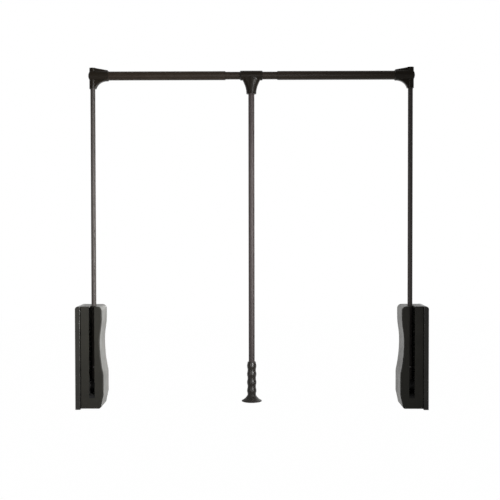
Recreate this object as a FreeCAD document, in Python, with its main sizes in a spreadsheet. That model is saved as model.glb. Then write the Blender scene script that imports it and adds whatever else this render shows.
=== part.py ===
import FreeCAD, Part
import math
import os
import re
import Sketcher

# Pull-down wardrobe rail: two wall housings, two arms, a telescopic rail and a hanging handle.
# X runs from wall to wall, the open front faces -Y and Z is up. The right side is drawn and mirrored.

# Driving sizes: lengths in mm, angles in degrees, shares as ratios
SIZES = [
    ("overall_width", 870, "wall face to wall face"),
    ("housing_depth", 75, "front to back"),
    ("base_height", 255, "foot to top of the wall base"),
    ("rail_level", 826, "rail axis above the foot"),
    ("overrun", 1, "how far a cut runs past its piece"),
    ("fit_gap", 0.05, "radial gap of a close fit"),
    ("running_gap", 0.3, "gap between pieces that pass"),
    ("base_thickness", 12, "wall base, edge"),
    ("base_floor", 4, "wall base, floor against the wall"),
    ("base_rim", 4, "wall base, rim"),
    ("base_head", 9, "wall base, top rim"),
    ("base_round", 3.5, "wall base, rounded top corner"),
    ("base_front_round", 1.2, "wall base, rounded front edge"),
    ("wall_screw_radius", 2.6, "wall screw hole"),
    ("wall_screw_head", 5, "wall screw head recess, radius"),
    ("wall_screw_sink", 1.5, "wall screw head recess, depth"),
    ("wall_screw_spread", 36, "wall screws, front to back"),
    ("wall_screw_low", 30, "low wall screws above the foot"),
    ("wall_screw_top", 31, "high wall screws below the top"),
    ("boss_radius", 9, "axle boss"),
    ("lug_reach", 18, "casing screw lug, from the wall"),
    ("lug_width", 10, "casing screw lug"),
    ("lug_height", 12, "casing screw lug"),
    ("lug_spread", 40, "casing screw lugs, front to back"),
    ("casing_screw_radius", 1.5, "casing screw shank"),
    ("casing_screw_length", 10, "casing screw shank"),
    ("casing_screw_head", 2.7, "casing screw head, radius"),
    ("casing_screw_cap", 1.8, "casing screw head, height"),
    ("casing_foot", 2.5, "casing above the base's foot"),
    ("casing_wall", 2.5, "casing wall"),
    ("casing_round", 3, "casing, rounded back edge"),
    ("cover_thickness", 3, "front cover"),
    ("cover_round", 2.4, "front cover, rounded edge"),
    ("cover_seam", 0.8, "seam between front cover and wall base"),
    ("lip_gap", 0.15, "cover tongue inside the casing"),
    ("lip_thickness", 1.6, "cover tongue"),
    ("lip_depth", 3, "cover tongue"),
    ("belly_reach", 69.5, "casing belly from the wall"),
    ("waist_depth", 8.7, "waist in from the belly"),
    ("crown_swell", 5, "crown out from the waist"),
    ("foot_taper", 6, "foot in from the belly"),
    ("foot_round", 6.5, "casing, rounded foot"),
    ("crown_round", 11, "casing, rounded crown"),
    ("belly_low_share", 0.134, "of the casing height"),
    ("belly_high_share", 0.318, "of the casing height"),
    ("waist_share", 0.648, "of the casing height"),
    ("hollow_share", 0.88, "of the bend from waist to belly"),
    ("crown_share", 0.89, "of the casing height"),
    ("slot_width", 13.5, "arm slot"),
    ("slot_foot", 29, "slot's lower end above the foot"),
    ("rest_thickness", 5, "rubber rest behind the arm"),
    ("rest_height", 10, "rubber rest behind the arm"),
    ("rest_wrap", 3.5, "rubber rest, cheeks beside the arm"),
    ("stop_depth", 10, "rubber stop in the slot"),
    ("stop_hook", 5, "rubber stop, hook behind the cover"),
    ("arm_inset", 41, "arm axis from the wall"),
    ("arm_setback", 31, "arm axis behind the front face"),
    ("arm_radius", 6, "arm tube"),
    ("arm_wall", 1.1, "arm tube"),
    ("pivot_level", 57, "pivot axis above the foot"),
    ("lift_swing", 118, "arm swing, upright to lowest"),
    ("axle_radius", 4, "pivot axle"),
    ("axle_seat", 8, "axle depth in each boss"),
    ("bush_wall", 2, "hub bush"),
    ("bush_length", 8, "hub bush inside the hub"),
    ("bush_flange", 1.5, "hub bush flange, thickness"),
    ("bush_flange_width", 2, "hub bush flange past the bush"),
    ("hub_radius", 13, "arm hub"),
    ("hub_inner", 11, "hub past the arm axis, room side"),
    ("hub_outer", 8, "hub past the arm axis, wall side"),
    ("shank_rise", 60, "hub shank above the pivot"),
    ("arm_pin_radius", 1.5, "arm cross pin"),
    ("arm_pin_rise", 45, "arm cross pin above the pivot"),
    ("gear_module", 2, "pinion and rack"),
    ("gear_teeth", 20, "pinion teeth"),
    ("gear_face", 13, "pinion width"),
    ("gear_backlash", 0.16, "pinion and rack"),
    ("pressure_angle", 20, "pinion and rack"),
    ("dedendum_share", 1.25, "root depth, of the module"),
    ("key_width", 18, "hexagon of the hub in the pinion"),
    ("rack_back", 7, "rack bar behind the teeth"),
    ("rack_width", 12, "rack bar"),
    ("rack_teeth", 10, "rack teeth"),
    ("rack_low_teeth", 8, "rack teeth below the pivot"),
    ("rack_foot", 6.5, "rack bar above the foot"),
    ("cup_level", 80, "spring cup above the foot"),
    ("cup_thickness", 4, "spring cup"),
    ("cup_radius", 13, "spring cup"),
    ("stem_radius", 5, "spring guide stem"),
    ("stem_past", 2, "spring guide stem past the seat"),
    ("spring_wire", 3.5, "spring wire, diameter"),
    ("spring_radius", 10, "spring, mean radius"),
    ("spring_turns", 8, "open turns"),
    ("spring_end_turns", 1, "close turns at each end"),
    ("spring_end_gap", 0.7, "gap in the close turns"),
    ("seat_drop", 57, "spring seat below the top"),
    ("seat_thickness", 8, "spring seat"),
    ("seat_margin", 2, "spring seat past the cup"),
    ("guide_foot", 38, "rack guide above the foot"),
    ("guide_height", 38, "rack guide"),
    ("guide_cheek", 3, "rack guide, cheek beside the rack"),
    ("guide_back", 8, "rack guide, behind the rack"),
    ("guide_wrap", 5, "rack guide, cheek along the rack's side"),
    ("elbow_drop", 32, "elbow below the rail axis"),
    ("elbow_rise", 19.5, "elbow above the rail axis"),
    ("elbow_reach", 40, "elbow from the arm axis along the rail"),
    ("elbow_tail", 6, "rail sleeve past the arm axis"),
    ("elbow_wall", 2.3, "elbow round the arm and the rail"),
    ("elbow_mouth", 2, "elbow, chamfered mouth"),
    ("elbow_web", 13, "elbow web, thickness"),
    ("elbow_round", 2, "elbow web, rounded edges"),
    ("elbow_web_slope", 6, "top web, fall towards the rail"),
    ("gusset_reach", 30, "gusset along the rail"),
    ("gusset_round", 26, "gusset, hollow edge"),
    ("cap_radius", 10, "domed end of the elbow"),
    ("cap_reach", 8, "domed end past the arm axis"),
    ("cap_dome", 3, "dome height"),
    ("arm_socket", 17, "arm tube inside the elbow"),
    ("rail_socket", 30, "rail tube inside the elbow"),
    ("set_screw_radius", 2, "set screws"),
    ("rail_radius", 11, "outer rail tube"),
    ("rail_wall", 1.2, "outer rail tube"),
    ("inner_wall", 1.2, "inner rail tube"),
    ("inner_length", 510, "inner rail tube"),
    ("inner_show", 36.5, "inner rail seen beside the tee"),
    ("plug_head", 3, "glide plug, head"),
    ("plug_depth", 14, "glide plug, stem"),
    ("tee_length", 56, "tee along the rail"),
    ("tee_wall", 2.5, "tee round the inner rail"),
    ("tee_chamfer", 1.5, "tee, chamfered ends"),
    ("tee_drop", 45.5, "tee below the rail axis"),
    ("tee_foot_radius", 12.3, "tee stem, lower end"),
    ("tee_flare", 25, "tee stem, half width under the rail"),
    ("tee_depth", 11.4, "tee stem, half depth under the rail"),
    ("tee_socket", 31, "handle rod inside the tee"),
    ("tee_screw_radius", 1.5, "tee stop screw, shank"),
    ("tee_screw_length", 6, "tee stop screw, shank"),
    ("tee_screw_head", 2.5, "tee stop screw, head radius"),
    ("tee_screw_cap", 1.1, "tee stop screw, head height"),
    ("tee_swing_back", 15, "handle swing to the back"),
    ("tee_swing_front", 125, "handle swing to the front"),
    ("handle_radius", 7.5, "handle rod"),
    ("handle_wall", 1.2, "handle rod"),
    ("handle_drop", 810, "grip's foot below the rail axis"),
    ("handle_screw_drop", 36, "handle screw below the rail axis"),
    ("grip_length", 98, "grip"),
    ("grip_swell", 11.7, "grip swells, radius"),
    ("grip_neck", 10.3, "grip necks, radius"),
    ("grip_swells", 4, "swells along the grip"),
    ("grip_foot_height", 16, "flared foot of the grip"),
    ("grip_rim", 25, "foot rim, radius"),
    ("grip_rim_height", 1.2, "foot rim"),
    ("grip_hollow", 30, "foot flare, hollow edge"),
    ("grip_floor", 15, "grip below the rod"),
]
# Sections of the tee's stem, from under the rail to its foot
STEM_LEVEL_SHARES = (0.08, 0.37, 0.59, 0.81, 1)
STEM_SPREAD_SHARES = (1, 0.55, 0.23, 0.05, 0)
STEM_DEPTH_SHARES = (0.08, 0.37, 0.58, 0.8, 0.99)

doc = FreeCAD.newDocument("PullDownRail")
sheet = doc.addObject("Spreadsheet::Sheet", "Sizes")
for row, (name, amount, note) in enumerate(SIZES, start=1):
    sheet.set(f"A{row}", name)
    sheet.set(f"B{row}", str(amount))
    sheet.setAlias(f"B{row}", name)
    sheet.set(f"C{row}", note)
doc.recompute()
NAMES = {name for name, amount, note in SIZES}


def bound(text):
    """An expression in size names, as the document reads it."""
    return re.sub(r"[a-z_]+", lambda word: f"Sizes.{word[0]}" if word[0] in NAMES else word[0], text)


def number(text):
    """The value of an expression in size names."""
    return float(sheet.evalExpression(bound(text)))


def new_body(label):
    body = doc.addObject("PartDesign::Body", label)
    body.Label = label
    return body


def place(thing, x="0", y="0", z="0"):
    """Ties the place of a piece to sizes."""
    for axis, text in zip("xyz", (x, y, z)):
        if text != "0":
            thing.setExpression(f"Placement.Base.{axis}", bound(text))
    return thing


def new_sketch(body, plane, height="0"):
    """A sketch on one of the body's own planes: XY looks down +Z, XZ along +Y and YZ against +X."""
    sketch = body.newObject("Sketcher::SketchObject", f"{body.Label}_sketch")
    support = next(part for part in body.Origin.OriginFeatures if part.Role == f"{plane}_Plane")
    sketch.AttachmentSupport = [(support, "")]
    sketch.MapMode = "FlatFace"
    if height != "0":
        sketch.setExpression("AttachmentOffset.Base.z", bound(height))
    return sketch


def dimension(sketch, dimensions):
    """Adds (kind, where, text) dimensions that follow sizes."""
    rules = [Sketcher.Constraint(kind, *where, number(text)) for kind, where, text in dimensions]
    for index, (kind, where, text) in zip(sketch.addConstraint(rules), dimensions):
        sketch.setExpression(f"Constraints[{index}]", bound(text))


def outline(sketch, points):
    """A closed outline. A point is (x, y) after a line, or (x, y, radius, turn) after an arc that
    turns left (1) or right (-1)."""
    spots = [FreeCAD.Vector(number(point[0]), number(point[1]), 0) for point in points]
    first = sketch.GeometryCount
    ends = []
    for index, point in enumerate(points):
        start, end = spots[index - 1], spots[index]
        if len(point) == 2:
            sketch.addGeometry(Part.LineSegment(start, end), False)
            ends.append((1, 2))
            continue
        radius, turn = number(point[2]), point[3]
        chord = end - start
        left = FreeCAD.Vector(-chord.y, chord.x, 0).normalize()
        rise = math.sqrt(max(radius ** 2 - (chord.Length / 2) ** 2, 0))
        centre = (start + end) * 0.5 + left * (rise * turn)
        angles = [math.atan2(spot.y - centre.y, spot.x - centre.x) for spot in (start, end)]
        circle_of = Part.Circle(centre, FreeCAD.Vector(0, 0, 1), radius)
        sketch.addGeometry(Part.ArcOfCircle(circle_of, *angles[::turn]), False)
        ends.append((1, 2) if turn > 0 else (2, 1))
    joins = []
    dimensions = []
    for index, point in enumerate(points):
        after = (index + 1) % len(points)
        geometry = first + index
        where = (geometry, ends[index][1], first + after, ends[after][0])
        joins.append(Sketcher.Constraint("Coincident", *where))
        dimensions.append(("DistanceX", (-1, 1, geometry, ends[index][1]), point[0]))
        dimensions.append(("DistanceY", (-1, 1, geometry, ends[index][1]), point[1]))
        if len(point) > 2:
            dimensions.append(("Radius", (geometry,), point[2]))
    sketch.addConstraint(joins)
    dimension(sketch, dimensions)
    return sketch


def rectangle(sketch, x0, y0, x1, y1):
    return outline(sketch, [(x0, y0), (x1, y0), (x1, y1), (x0, y1)])


def circle(sketch, radius, x="0", y="0"):
    centre = FreeCAD.Vector(number(x), number(y), 0)
    geometry = sketch.addGeometry(Part.Circle(centre, FreeCAD.Vector(0, 0, 1), number(radius)), False)
    dimension(sketch, [
        ("DistanceX", (-1, 1, geometry, 3), x),
        ("DistanceY", (-1, 1, geometry, 3), y),
        ("Radius", (geometry,), radius),
    ])
    return sketch


def pad(sketch, length, back=False):
    """Adds material along the sketch's normal, or against it."""
    body = sketch.getParentGeoFeatureGroup()
    feature = body.newObject("PartDesign::Pad", f"{body.Label}_pad")
    feature.Profile = sketch
    feature.Reversed = back
    feature.setExpression("Length", bound(length))
    return feature


def pocket(sketch, length, along=False):
    """Cuts against the sketch's normal, or along it."""
    body = sketch.getParentGeoFeatureGroup()
    feature = body.newObject("PartDesign::Pocket", f"{body.Label}_pocket")
    feature.Profile = sketch
    feature.Reversed = along
    feature.setExpression("Length", bound(length))
    return feature


def revolve(sketch, axis):
    body = sketch.getParentGeoFeatureGroup()
    feature = body.newObject("PartDesign::Revolution", f"{body.Label}_turn")
    feature.Profile = sketch
    feature.ReferenceAxis = (sketch, [axis])
    feature.Angle = 360
    return feature


def fillet(feature, radius, wanted):
    """Rounds the edges of a feature that pass a test on their middle point."""
    doc.recompute()
    body = feature.getParentGeoFeatureGroup()
    names = []
    for index, edge in enumerate(feature.Shape.Edges, start=1):
        if wanted(edge.valueAt((edge.FirstParameter + edge.LastParameter) / 2), edge):
            names.append(f"Edge{index}")
    rounding = body.newObject("PartDesign::Fillet", f"{body.Label}_fillet")
    rounding.Base = (feature, names)
    rounding.setExpression("Radius", bound(radius))
    return rounding


def tube(label, plane, height, outer, inner, length):
    """A straight tube along the plane's normal."""
    body = new_body(label)
    sketch = new_sketch(body, plane, height)
    circle(sketch, outer)
    circle(sketch, inner)
    pad(sketch, length)
    return body


def rod(label, plane, height, radius, length):
    """A straight round bar along the plane's normal."""
    body = new_body(label)
    pad(circle(new_sketch(body, plane, height), radius), length)
    return body


def cylinder(label, axis, radius, length, x="0", y="0", z="0"):
    """A cylinder tool along an axis, from the point given."""
    thing = doc.addObject("Part::Cylinder", label)
    thing.setExpression("Radius", bound(radius))
    thing.setExpression("Height", bound(length))
    turn = {"X": 120, "Y": 240, "Z": 0}[axis]
    thing.Placement = FreeCAD.Placement(FreeCAD.Vector(), FreeCAD.Rotation(FreeCAD.Vector(1, 1, 1), turn))
    return place(thing, x, y, z)


def group(label, pieces):
    """Like pieces that share one node."""
    thing = doc.addObject("Part::Compound", label)
    thing.Label = label
    thing.Links = pieces
    return thing


def cut(label, base, tools):
    """A piece with tools cut out of it."""
    for tool in tools:
        thing = doc.addObject("Part::Cut", f"{label}_cut")
        thing.Base = base
        thing.Tool = tool
        base = thing
    base.Label = label
    return base


# Places that several pieces share
half_depth = "(housing_depth / 2)"
wall_x = "(overall_width / 2)"
arm_x = f"({wall_x} - arm_inset)"
arm_y = f"(arm_setback - {half_depth})"
gear_radius = "(gear_module * gear_teeth / 2)"
tooth_pitch = "(gear_module * pi)"
key_length = "(gear_face + 2 * running_gap)"
key_end = f"(arm_inset - hub_outer - {key_length})"
base_boss = f"({key_end} - bush_flange - running_gap)"
casing_boss = "(arm_inset + hub_inner + bush_flange + running_gap)"
rack_reach = f"(arm_inset - hub_outer - {key_length} / 2)"
rack_pitch_y = f"({arm_y} + {gear_radius})"
rack_root_y = f"({rack_pitch_y} + gear_module * dedendum_share)"
rack_back_y = f"({rack_root_y} + rack_back)"
spring_y = f"({rack_root_y} + rack_back / 2)"
spring_foot = "(cup_level + cup_thickness)"
seat_level = "(base_height - seat_drop)"
lug_foot = "(casing_foot + casing_wall + running_gap)"
lug_middle = "((base_thickness + lug_reach) / 2)"
bush_radius = "(axle_radius + fit_gap + bush_wall)"
shank_radius = "(arm_radius - arm_wall - fit_gap)"
inner_radius = "(rail_radius - rail_wall - running_gap)"
right = []


def casing_level(share):
    return f"(casing_foot + (base_height - casing_foot) * {share})"


def wave(inset, side):
    """The casing's outline in XZ, inset by a wall, closed at the side towards the wall."""
    belly = f"(belly_reach - {inset})"
    waist = f"({belly} - waist_depth)"
    crown = f"({waist} + crown_swell)"
    foot = f"({belly} - foot_taper)"
    low, high = f"(casing_foot + {inset})", f"(base_height - {inset})"
    foot_radius, crown_radius = f"(foot_round - {inset})", f"(crown_round - {inset})"
    belly_low, belly_high = casing_level("belly_low_share"), casing_level("belly_high_share")
    waist_z, crown_z = casing_level("waist_share"), casing_level("crown_share")
    lower_bend = f"((({waist_z} - {belly_high})^2 + waist_depth^2) / waist_depth / 2)"
    turn_x = f"({belly} * hollow_share + {waist} * (1 - hollow_share))"
    turn_z = f"({belly_high} * hollow_share + {waist_z} * (1 - hollow_share))"
    upper_bend = f"((({crown_z} - {waist_z})^2 + crown_swell^2) / crown_swell / 4)"
    return [
        (side, low),
        (f"{foot_radius} - {foot}", low),
        (f"-{foot}", f"{low} + {foot_radius}", foot_radius, -1),
        (f"-{belly}", belly_low),
        (f"-{belly}", belly_high),
        (f"-{turn_x}", turn_z, f"{lower_bend} * (1 - hollow_share)", -1),
        (f"-{waist}", waist_z, f"{lower_bend} * hollow_share", 1),
        (f"-({waist} + {crown}) / 2", f"({waist_z} + {crown_z}) / 2", upper_bend, 1),
        (f"-{crown}", crown_z, upper_bend, -1),
        (f"-{crown}", f"{high} - {crown_radius}"),
        (f"{crown_radius} - {crown}", high, crown_radius, -1),
        (side, high),
    ]


def housing_body(label):
    """A body whose X starts at the wall face."""
    body = place(new_body(label), wall_x)
    right.append(body)
    return body


# Wall base: a tray with a rounded top corner, axle boss, screw holes and casing lugs
base = housing_body("right_wall_base")
profile = new_sketch(base, "XZ", f"-{half_depth}")
outline(profile, [
    ("0", "0"),
    ("0", "base_height - base_round"),
    ("-base_round", "base_height", "base_round", 1),
    ("-base_thickness", "base_height"),
    ("-base_thickness", "0"),
])
depth_edge, base_edge = number(half_depth), number("base_thickness")
fillet(pad(profile, "housing_depth"), "base_front_round", lambda middle, edge: (
    abs(middle.y + depth_edge) < number("fit_gap") and abs(middle.x + base_edge) < number("fit_gap")
))
tray = new_sketch(base, "YZ", "-base_floor")
rectangle(tray, f"base_rim - {half_depth}", "base_rim", f"{half_depth} - base_rim", "base_height - base_head")
pocket(tray, "base_thickness")
boss = new_sketch(base, "YZ", "-base_floor / 2")
pad(circle(boss, "boss_radius", arm_y, "pivot_level"), f"{base_boss} - base_floor / 2", back=True)
for side in ("-", ""):
    lug = new_sketch(base, "YZ", "-base_floor / 2")
    middle = f"{side}lug_spread / 2"
    rectangle(lug, f"{middle} - lug_width / 2", lug_foot,
              f"{middle} + lug_width / 2", f"{lug_foot} + lug_height")
    pad(lug, "lug_reach - base_floor / 2", back=True)
axle_bore = new_sketch(base, "YZ", f"-{base_boss}")
pocket(circle(axle_bore, "axle_radius + fit_gap", arm_y, "pivot_level"), "axle_seat", along=True)
for radius, height, depth in (
    ("wall_screw_radius", "0", "base_floor + overrun"),
    ("wall_screw_head", "wall_screw_sink - base_floor", "wall_screw_sink + overrun"),
):
    holes = new_sketch(base, "YZ", height)
    for side in ("-", ""):
        for level in ("wall_screw_low", "base_height - wall_screw_top"):
            circle(holes, radius, f"{side}wall_screw_spread / 2", level)
    pocket(holes, depth)
pilots = new_sketch(base, "XY", lug_foot)
for side in ("-", ""):
    circle(pilots, "casing_screw_radius + fit_gap", f"-{lug_middle}", f"{side}lug_spread / 2")
pocket(pilots, "casing_screw_length", along=True)

# Casing: the wavy shell, open to the wall and the front
casing = housing_body("right_casing")
shell = pad(
    outline(new_sketch(casing, "XZ", f"-{half_depth}"), wave("0", "-base_thickness")),
    "housing_depth - cover_thickness",
)
fillet(shell, "casing_round", lambda middle, edge: (
    abs(middle.y - depth_edge) < number("fit_gap")
    and all(abs(corner.Y - depth_edge) < number("fit_gap") for corner in edge.Vertexes)
    and middle.x < -base_edge - number("fit_gap")
))
hollow = new_sketch(casing, "XZ", f"casing_wall - {half_depth}")
pocket(outline(hollow, wave("casing_wall", "0")), "housing_depth", along=True)
boss = new_sketch(casing, "YZ", "casing_wall / 2 - belly_reach")
pad(circle(boss, "boss_radius", arm_y, "pivot_level"), f"belly_reach - casing_wall / 2 - {casing_boss}")
axle_bore = new_sketch(casing, "YZ", f"-{casing_boss}")
pocket(circle(axle_bore, "axle_radius + fit_gap", arm_y, "pivot_level"), "axle_seat")
notch = new_sketch(casing, "XY", "base_height")
notch_back = f"({arm_y} + arm_radius + running_gap + rest_thickness)"
rectangle(notch, "-arm_inset - slot_width / 2", f"-{half_depth}", "slot_width / 2 - arm_inset", notch_back)
pocket(notch, "casing_wall + overrun")
holes = new_sketch(casing, "XY", "casing_foot")
for side in ("-", ""):
    circle(holes, "casing_screw_radius + fit_gap", f"-{lug_middle}", f"{side}lug_spread / 2")
pocket(holes, "casing_wall + overrun", along=True)

# Front cover: a plate of the same outline with a tongue inside the casing and the long arm slot
cover = housing_body("right_front_cover")
rear = f"{half_depth} - cover_thickness"
plate = pad(
    outline(new_sketch(cover, "XZ", rear), wave("0", "-base_thickness - cover_seam")), "cover_thickness"
)
fillet(plate, "cover_round", lambda middle, edge: (
    abs(middle.y + depth_edge) < number("fit_gap")
    and all(abs(corner.Y + depth_edge) < number("fit_gap") for corner in edge.Vertexes)
    and middle.x < -base_edge - number("fit_gap")
))
tongue = new_sketch(cover, "XZ", rear)
outline(tongue, wave("(casing_wall + lip_gap)", "-base_thickness - lip_gap"))
outline(tongue, wave("(casing_wall + lip_gap + lip_thickness)", "-base_thickness - lip_gap - lip_thickness"))
pad(tongue, "lip_depth", back=True)
slot = new_sketch(cover, "XZ", half_depth)
rectangle(slot, "-arm_inset - slot_width / 2", "slot_foot",
          "slot_width / 2 - arm_inset", "base_height + overrun")
pocket(slot, "cover_thickness + lip_depth + overrun")

# Casing screws from below into the lugs
screws = []
for side in ("-", ""):
    screw = place(
        new_body("casing_screw"), f"{wall_x} - {lug_middle}", f"{side}lug_spread / 2", "casing_foot"
    )
    pad(circle(new_sketch(screw, "XY"), "casing_screw_head"), "casing_screw_cap", back=True)
    pad(circle(new_sketch(screw, "XY"), "casing_screw_radius"), "casing_screw_length")
    screws.append(screw)
right.append(group("right_casing_screws", screws))

# Rubber rest behind the raised arm, in the notch of the casing's top, hollowed to the arm
rest = housing_body("right_rest_bumper")
rest_block = new_sketch(rest, "XY", "base_height")
rest_front = f"{arm_y} + arm_radius + running_gap - rest_wrap"
rectangle(rest_block, "-arm_inset - slot_width / 2", rest_front, "slot_width / 2 - arm_inset", notch_back)
pad(rest_block, "rest_height", back=True)
rest_hollow = new_sketch(rest, "XY", "base_height")
pocket(circle(rest_hollow, "arm_radius + running_gap", "-arm_inset", arm_y), "rest_height + overrun")

# Rubber stop at the slot's foot, sloped like the lowered arm
stop = housing_body("right_slot_bumper")
slope = "(lift_swing - 90)"
stop_back = f"(stop_depth - {half_depth})"


def stop_top(y):
    """The top of the rubber stop under the lowered arm."""
    return f"pivot_level - ({arm_y} - {y}) * tan({slope}) - arm_radius / cos({slope}) - running_gap"


pad(outline(new_sketch(stop, "YZ", "-arm_inset - slot_width / 2"), [
    (f"-{half_depth}", "slot_foot"),
    (f"cover_thickness - {half_depth}", "slot_foot"),
    (f"cover_thickness - {half_depth}", "slot_foot - stop_hook"),
    (stop_back, "slot_foot - stop_hook"),
    (stop_back, stop_top(stop_back)),
    (f"-{half_depth}", stop_top(f"(-{half_depth})")),
]), "slot_width")

# Pivot axle between the bosses of base and casing
axle = rod("right_pivot_axle", "YZ", f"-{casing_boss} - axle_seat", "axle_radius",
           f"{casing_boss} - {base_boss} + 2 * axle_seat")
right.append(place(axle, wall_x, arm_y, "pivot_level"))

# Flanged bushes, one in each end of the hub
bushes = []
for end, inwards in (("arm_inset + hub_inner", False), (key_end, True)):
    bush = place(new_body("hub_bush"), f"{wall_x} - ({end})", arm_y, "pivot_level")
    for outer, length, back in (
        (bush_radius, "bush_length", inwards),
        (f"{bush_radius} + bush_flange_width", "bush_flange", not inwards),
    ):
        sketch = new_sketch(bush, "YZ")
        circle(sketch, outer)
        circle(sketch, "axle_radius + fit_gap")
        pad(sketch, length, back=back)
    bushes.append(bush)
right.append(group("right_hub_bushes", bushes))

# Arm hub: barrel, hexagon for the pinion and a shank up into the arm tube
hub = place(new_body("right_arm_hub"), arm_x, arm_y, "pivot_level")
right.append(hub)
pad(circle(new_sketch(hub, "YZ", "-hub_inner"), "hub_radius"), "hub_inner + hub_outer")
key_corner = "key_width / 2 / cos(30)"
hexagon = [(f"{key_corner} * cos({60 * i})", f"{key_corner} * sin({60 * i})") for i in range(6)]
pad(outline(new_sketch(hub, "YZ", "hub_outer"), hexagon), key_length)
pad(circle(new_sketch(hub, "XY"), shank_radius), "shank_rise")
bore = circle(new_sketch(hub, "YZ", f"hub_outer + {key_length}"), f"{bush_radius} + fit_gap")
pocket(bore, f"hub_inner + hub_outer + {key_length} + overrun")
pin_hole = circle(new_sketch(hub, "XZ", "-arm_radius"), "arm_pin_radius + fit_gap", "0", "arm_pin_rise")
pocket(pin_hole, "2 * arm_radius", along=True)

# Arm tube and its cross pin
arm_foot = "(hub_radius + running_gap)"
arm_top = "(rail_level - elbow_drop + arm_socket - pivot_level)"
arm = tube("right_arm_tube", "XY", arm_foot, "arm_radius", "arm_radius - arm_wall", f"{arm_top} - {arm_foot}")
pin_hole = circle(new_sketch(arm, "XZ", "-arm_radius"), "arm_pin_radius + fit_gap", "0", "arm_pin_rise")
pocket(pin_hole, "2 * arm_radius", along=True)
right.append(place(arm, arm_x, arm_y, "pivot_level"))
pin = new_body("right_arm_pin")
pin_sketch = circle(new_sketch(pin, "XZ", "running_gap - arm_radius"), "arm_pin_radius", "0", "arm_pin_rise")
pad(pin_sketch, "2 * arm_radius - 2 * running_gap")
right.append(place(pin, arm_x, arm_y, "pivot_level"))


def involute(angle):
    return math.tan(angle) - angle


def pinion_face():
    """The toothed outline of the pinion in YZ, round its own axis, a tooth towards +Y."""
    pitch_radius, pressure = number(gear_radius), math.radians(number("pressure_angle"))
    root = pitch_radius - number("gear_module * dedendum_share")
    tip = pitch_radius + number("gear_module")
    base_radius = pitch_radius * math.cos(pressure)
    count = round(number("gear_teeth"))
    half_tooth = math.pi / count / 2 - number("gear_backlash") / pitch_radius / 4

    def spot(radius, angle):
        return FreeCAD.Vector(0, radius * math.cos(angle), radius * math.sin(angle))

    def flank(radius):
        return half_tooth + involute(pressure) - involute(math.acos(min(base_radius / radius, 1)))

    start = max(base_radius, root)
    middle = (start + tip) / 2
    edges = []
    for tooth in range(count):
        turn = 2 * math.pi * tooth / count
        low = [spot(r, turn - flank(max(r, start))) for r in (root, start, middle, tip)]
        high = [spot(r, turn + flank(max(r, start))) for r in (root, start, middle, tip)]
        after = spot(root, turn + 2 * math.pi / count - flank(start))
        edges.append(Part.LineSegment(low[0], low[1]).toShape())
        edges.append(Part.Arc(low[1], low[2], low[3]).toShape())
        edges.append(Part.Arc(low[3], spot(tip, turn), high[3]).toShape())
        edges.append(Part.Arc(high[3], high[2], high[1]).toShape())
        edges.append(Part.LineSegment(high[1], high[0]).toShape())
        edges.append(Part.Arc(high[0], spot(root, turn + math.pi / count), after).toShape())
    return Part.Face(Part.Wire(Part.__sortEdges__(edges)))


# Pinion with a hexagonal bore, keyed on the hub
pinion = doc.addObject("Part::Feature", "right_lift_pinion")
pinion.Label = "right_lift_pinion"
wheel = pinion_face().extrude(FreeCAD.Vector(number("gear_face"), 0, 0))
key_radius = number("key_width / 2 + fit_gap") / math.cos(math.pi / 6)
key_corners = []
for i in range(7):
    turn = math.pi / 3 * i
    key_corners.append(FreeCAD.Vector(0, key_radius * math.cos(turn), key_radius * math.sin(turn)))
key = Part.Face(Part.makePolygon(key_corners)).extrude(FreeCAD.Vector(number("gear_face"), 0, 0))
pinion.Shape = wheel.cut(key)
right.append(place(pinion, f"{arm_x} + hub_outer + running_gap", arm_y, "pivot_level"))

# Rack bar with a row of teeth, the spring cup and the guide stem
rack = place(new_body("right_spring_rack"), f"{wall_x} - {rack_reach}")
right.append(rack)
bar = new_sketch(rack, "YZ", "-rack_width / 2")
rectangle(bar, rack_root_y, "rack_foot", rack_back_y, "cup_level")
pad(bar, "rack_width")
first_tooth = f"(pivot_level - (rack_low_teeth - 0.5) * {tooth_pitch})"
half_tooth = f"({tooth_pitch} / 4 - gear_backlash / 4)"
root_half = f"({half_tooth} + gear_module * dedendum_share * tan(pressure_angle))"
tip_half = f"({half_tooth} - gear_module * tan(pressure_angle))"
tooth_sketch = outline(new_sketch(rack, "YZ", "-rack_width / 2"), [
    (rack_root_y, f"{first_tooth} - {root_half}"),
    (rack_root_y, f"{first_tooth} + {root_half}"),
    (f"{rack_pitch_y} - gear_module", f"{first_tooth} + {tip_half}"),
    (f"{rack_pitch_y} - gear_module", f"{first_tooth} - {tip_half}"),
])
tooth = pad(tooth_sketch, "rack_width")
teeth = rack.newObject("PartDesign::LinearPattern", "rack_teeth_row")
teeth.Originals = [tooth]
teeth.Direction = (tooth_sketch, ["V_Axis"])
teeth.setExpression("Length", bound(f"{tooth_pitch} * (rack_teeth - 1)"))
teeth.setExpression("Occurrences", bound("rack_teeth"))
rack.Tip = teeth
doc.recompute()
pad(circle(new_sketch(rack, "XY", "cup_level"), "cup_radius", "0", spring_y), "cup_thickness")
pad(circle(new_sketch(rack, "XY", spring_foot), "stem_radius", "0", spring_y),
    f"{seat_level} + seat_thickness + stem_past - {spring_foot}")


def spring_height(turns, foot, top, wire, ends, end_pitch, total):
    """The wire's height after a number of turns: close turns at both ends and open ones between."""
    open_pitch = (top - foot - wire - 2 * ends * end_pitch) / (total - 2 * ends)
    low = min(turns, ends)
    high = max(turns - total + ends, 0)
    return foot + wire / 2 + (low + high) * end_pitch + (turns - low - high) * open_pitch


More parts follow.
